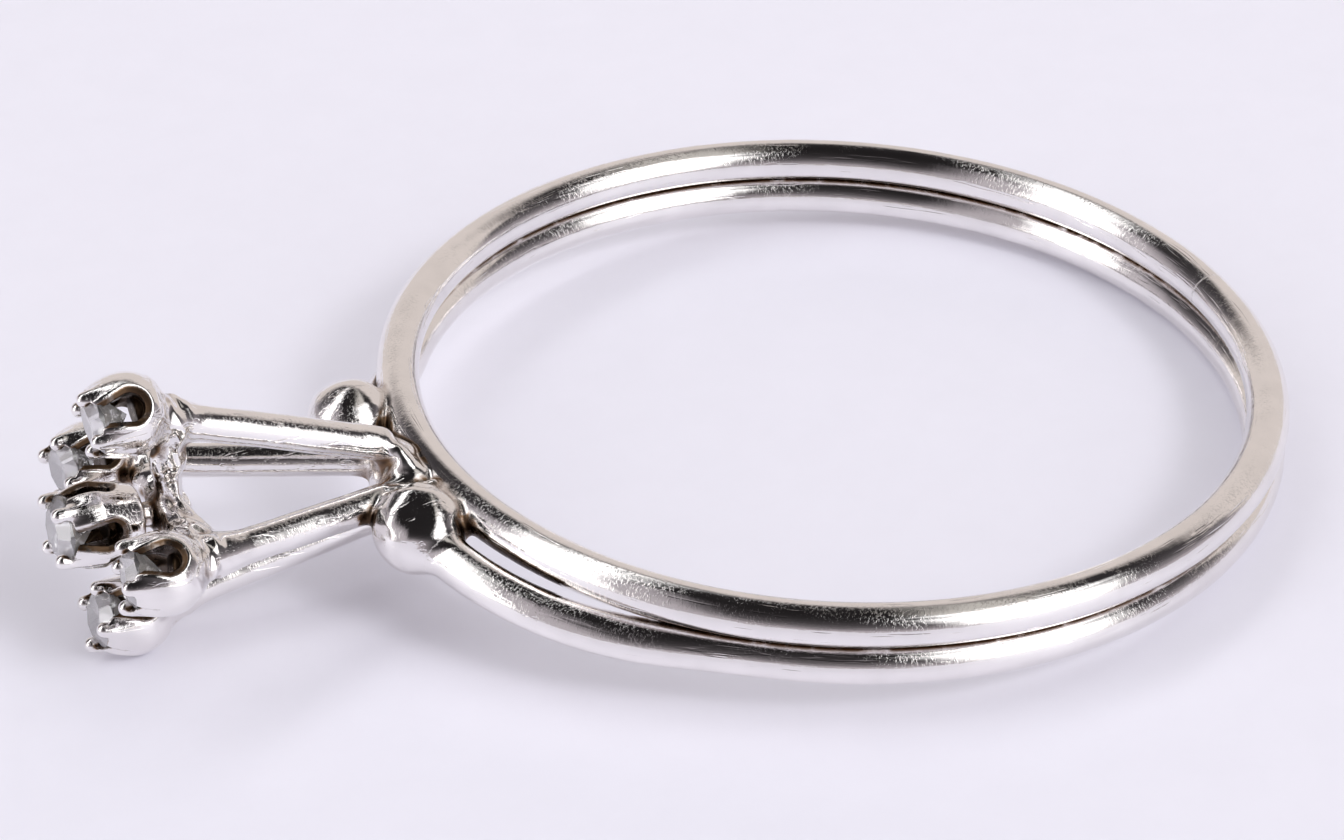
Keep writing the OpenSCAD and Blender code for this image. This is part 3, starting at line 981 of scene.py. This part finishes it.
class RING_OT_joint(bpy.types.Operator):
    """The soldered joint of the ring: base, beads, solder webs, post feet and the wires beside them"""

    bl_idname = "ring.joint"
    bl_label = "Soldered joint"

    def execute(self, context):
        shape = shape_of(context)

        def distance(points):
            return handed_over(shape.joint_metal(points), shape.beyond_joint(points))

        def flow(points):
            band = np.stack((np.hypot(points[:, 0], points[:, 1]) - shape.ring, points[:, 2],
                             np.arctan2(points[:, 1], -points[:, 0]) * shape.ring * 0.07), 1)
            on_band = np.minimum(shape.upper_wire(points), shape.lower_wire(points)) < 0.06
            return np.where(on_band[:, None], band, head_flow(shape)(points))

        piece = soldered_piece("soldered_joint", shape, distance, (-11.6, -6.6, -1.3), (-6.3, 6.6, 2.3),
                               JOINT_CELL, flow)
        finish_piece(piece, metal_of(context))
        return {"FINISHED"}


class RING_OT_arms(bpy.types.Operator):
    """The four flaring posts, each with its cup, prongs and grains"""

    bl_idname = "ring.arms"
    bl_label = "Posts and cups"

    def execute(self, context):
        shape = shape_of(context)
        for seat, (name, direction, _, _) in enumerate(SEATS):
            cup = shape.cups[seat]

            def distance(points):
                return handed_over(shape.head_metal(points, cup), shape.beyond_arm(points, seat))

            corners = shape.head.turned("z", direction).out([(x, y, z) for x in (0.3, 3.5) for y in (-1.2, 1.2)
                                                             for z in (10.6, 16.3)])
            piece = soldered_piece("post_and_cup_" + name, shape, distance, corners.min(0), corners.max(0),
                                   HEAD_CELL, head_flow(shape), cup)
            finish_piece(piece, metal_of(context))
        return {"FINISHED"}


class RING_OT_centre(bpy.types.Operator):
    """The lumpy cross behind the cups and the centre cup on its stem"""

    bl_idname = "ring.centre"
    bl_label = "Cross and centre cup"

    def execute(self, context):
        shape = shape_of(context)

        def distance(points):
            return handed_over(shape.head_metal(points, shape.centre_cup), shape.beyond_centre(points))

        corners = shape.head.out([(x, y, z) for x in (-1.75, 1.75) for y in (-1.75, 1.75) for z in (13.4, 17.0)])
        piece = soldered_piece("cross_and_centre_cup", shape, distance, corners.min(0), corners.max(0),
                               HEAD_CELL, head_flow(shape), shape.centre_cup)
        finish_piece(piece, metal_of(context))
        return {"FINISHED"}


class RING_OT_diamonds(bpy.types.Operator):
    """The diamond of each cup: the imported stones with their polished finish"""

    bl_idname = "ring.diamonds"
    bl_label = "Diamonds"

    def execute(self, context):
        diamond = cut_diamond(context.scene.ring_finish)
        for name in STONES:
            stone = frame["nodes"][name]
            stone.data.materials.clear()
            stone.data.materials.append(diamond)
        return {"FINISHED"}


class RING_OT_studio(bpy.types.Operator):
    """The pale surface, the soft light, what the metal mirrors, and the camera"""

    bl_idname = "ring.studio"
    bl_label = "Studio"

    camera_place = (-31.286, -65.666, 49.184)
    camera_aim = (-3.162, 1.071, -0.466)
    camera_roll = 2.058
    floor_half = 0.6
    facing = -115.475
    lamp_tone = (0.98, 0.975, 1.0)
    haze_height = -0.26
    zenith = (0.004, 0.0035, 0.0035, 1)
    horizon = (0.56, 0.51, 0.55, 1)

    # Lamps on the surface: name, azimuth from the camera's own side, elevation, angular size, share of the strength,
    # and whether things throw a shadow in it
    lamps = (("right", 52, 42, 15, 0.52, True), ("overhead", 0, 85, 90, 0.72, False))

    # Light shapes: azimuth from the camera's own side, elevation, roll, half length, half width at both ends,
    # softness (tangents), tone, strength
    panels = (
        (171.8, 11.3, -13.7, 0.61, 1.78, 1.45, 0.40, (1.09, 0.99, 0.95), 0.66),
        (-93.4, 29.6, 14.1, 0.73, 0.25, 0.02, 0.40, (1.03, 0.95, 1.02), 0.55),
        (-48.0, 34.9, 12.6, 0.78, 0.39, 0.03, 0.40, (1.03, 0.95, 1.02), 0.48),
        (132.4, 64.5, 66.3, 0.52, 0.00, 0.19, 0.15, (1.05, 1.0, 0.95), 0.55),
        (-150.7, 61.6, 119.8, 0.37, 0.11, 0.00, 0.20, (1.0, 0.99, 1.0), 2.0),
        (-117.7, 60.9, 90.3, 0.24, 0.17, 0.00, 0.20, (1.0, 0.99, 1.0), 2.0),
        (-72.0, 30.5, 17.1, 0.61, 0.28, 0.13, 0.20, (1.0, 0.99, 1.0), 2.0),
        (54.0, 25.8, -12.1, 0.45, 0.30, 0.35, 0.30, (1.0, 0.99, 1.0), 2.0),
        (74.2, 56.1, -21.5, 0.09, 0.26, 0.28, 0.25, (1.0, 0.99, 1.0), 2.0),
    )

    def execute(self, context):
        studio, finish = context.scene.ring_studio, context.scene.ring_finish
        self.floor(finish)
        self.lights(studio)
        self.surroundings(context, studio)
        self.camera(context, studio)
        context.scene.view_settings.view_transform = "Standard"
        return {"FINISHED"}

    def floor(self, finish):
        h, z = self.floor_half, cad_box[0][2]
        corners = np.array(((-h, -h, z), (h, -h, z), (h, h, z), (-h, h, z)))
        floor = add_mesh("floor", corners, np.array(((0, 1, 2, 3),)))
        floor.data.materials.append(pale_surface(finish))
        floor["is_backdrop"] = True

    def lights(self, studio):
        """Lamps on the surface: one from the right and an even one from above, which the metal doesn't mirror."""
        for name, azimuth, elevation, spread, share, shadow in self.lamps:
            a, e = np.radians((self.facing + azimuth, elevation))
            light = bpy.data.lights.new(name, "SUN")
            light.energy = studio.overhead * share
            light.angle = np.radians(spread)
            light.use_shadow = shadow
            light.color = self.lamp_tone
            lamp = bpy.data.objects.new(name, light)
            lamp.visible_glossy = False
            lamp.visible_transmission = False
            towards = Vector((np.cos(a) * np.cos(e), np.sin(a) * np.cos(e), np.sin(e)))
            lamp.rotation_euler = towards.to_track_quat("Z", "Y").to_euler()
            bpy.context.scene.collection.objects.link(lamp)

    def surroundings(self, context, studio):
        """The room by direction: pale at the horizon, dark overhead, with the light shapes laid over it."""
        world = bpy.data.worlds.new("studio")
        world.use_nodes = True
        context.scene.world = world
        s = Shader(world.node_tree)
        direction = s.add("ShaderNodeTexCoord", output="Generated")

        def along(vector):
            return s.add("ShaderNodeVectorMath", {0: direction, 1: vector}, operation="DOT_PRODUCT", output="Value")

        height = s.math("MAXIMUM", along((0, 0, 1)), 0.0)
        haze = s.math("EXPONENT", s.math("DIVIDE", height, self.haze_height))
        light = s.mix(haze, self.zenith, self.horizon)
        for azimuth, elevation, roll, half, near_half, far_half, soft, tone, power in self.panels:
            a, e, r = np.radians((self.facing + azimuth, elevation, roll))
            ahead = np.array((np.cos(a) * np.cos(e), np.sin(a) * np.cos(e), np.sin(e)))
            side = np.array((-np.sin(a), np.cos(a), 0))
            up = np.array((-np.cos(a) * np.sin(e), -np.sin(a) * np.sin(e), np.cos(e)))
            side, up = np.cos(r) * side + np.sin(r) * up, -np.sin(r) * side + np.cos(r) * up
            depth = along(ahead)
            safe = s.math("MAXIMUM", depth, 0.02)
            x = s.math("ABSOLUTE", s.math("DIVIDE", along(side), safe))
            y = s.math("DIVIDE", along(up), safe)
            width = s.ramp(y, -half, half, near_half, far_half)
            shape = s.math("MULTIPLY", s.smooth(s.math("SUBTRACT", width, x), -soft / 2, soft / 2),
                           s.smooth(s.math("ABSOLUTE", y), half + soft / 2, half - soft / 2))
            shape = s.math("MULTIPLY", shape, s.smooth(depth, 0.0, 0.1))
            strength = studio.softbox if power > 1 else power
            light = s.mix(shape, light, rgba([strength * c for c in tone]))
        glow = s.add("ShaderNodeBackground", {"Color": light, "Strength": 1.0})
        s.tree.links.new(glow, s.tree.nodes.new("ShaderNodeOutputWorld").inputs["Surface"])

    def camera(self, context, studio):
        place, aim = (Vector(v) * MM for v in (self.camera_place, self.camera_aim))
        lens = bpy.data.cameras.new("camera")
        lens.lens, lens.sensor_width = studio.lens, 36
        lens.clip_start, lens.clip_end = 0.005, 5
        camera = bpy.data.objects.new("camera", lens)
        look = (aim - place).to_track_quat("-Z", "Y").to_matrix()
        camera.matrix_world = Matrix.Translation(place) @ (
            look @ Matrix.Rotation(np.radians(-self.camera_roll), 3, "Z")).to_4x4()
        context.scene.collection.objects.link(camera)
        context.scene.camera = camera


class RING_PT_panel(bpy.types.Panel):
    """Lists the builders of the ring"""

    bl_label = "Ring"
    bl_idname = "RING_PT_panel"
    bl_space_type = "VIEW_3D"
    bl_region_type = "UI"
    bl_category = "Ring"

    def draw(self, context):
        for builder in BUILDERS:
            self.layout.operator(builder.bl_idname)


GROUPS = (("ring_band", RING_PG_band), ("ring_head", RING_PG_head), ("ring_finish", RING_PG_finish),
          ("ring_studio", RING_PG_studio))
BUILDERS = (RING_OT_band, RING_OT_joint, RING_OT_arms, RING_OT_centre, RING_OT_diamonds, RING_OT_studio)


def register():
    for name, group in GROUPS:
        bpy.utils.register_class(group)
        setattr(bpy.types.Scene, name, PointerProperty(type=group))
    for cls in BUILDERS + (RING_PT_panel,):
        bpy.utils.register_class(cls)


def unregister():
    for cls in (RING_PT_panel,) + BUILDERS[::-1]:
        bpy.utils.unregister_class(cls)
    for name, group in GROUPS[::-1]:
        delattr(bpy.types.Scene, name)
        bpy.utils.unregister_class(group)


def main():
    register()
    bpy.ops.ring.band()
    bpy.ops.ring.joint()
    bpy.ops.ring.arms()
    bpy.ops.ring.centre()
    bpy.ops.ring.diamonds()
    bpy.ops.ring.studio()
    boxes = [[list(corner) for corner in box] for box in (cad_box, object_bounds())]


if __name__ == "__main__":
    main()
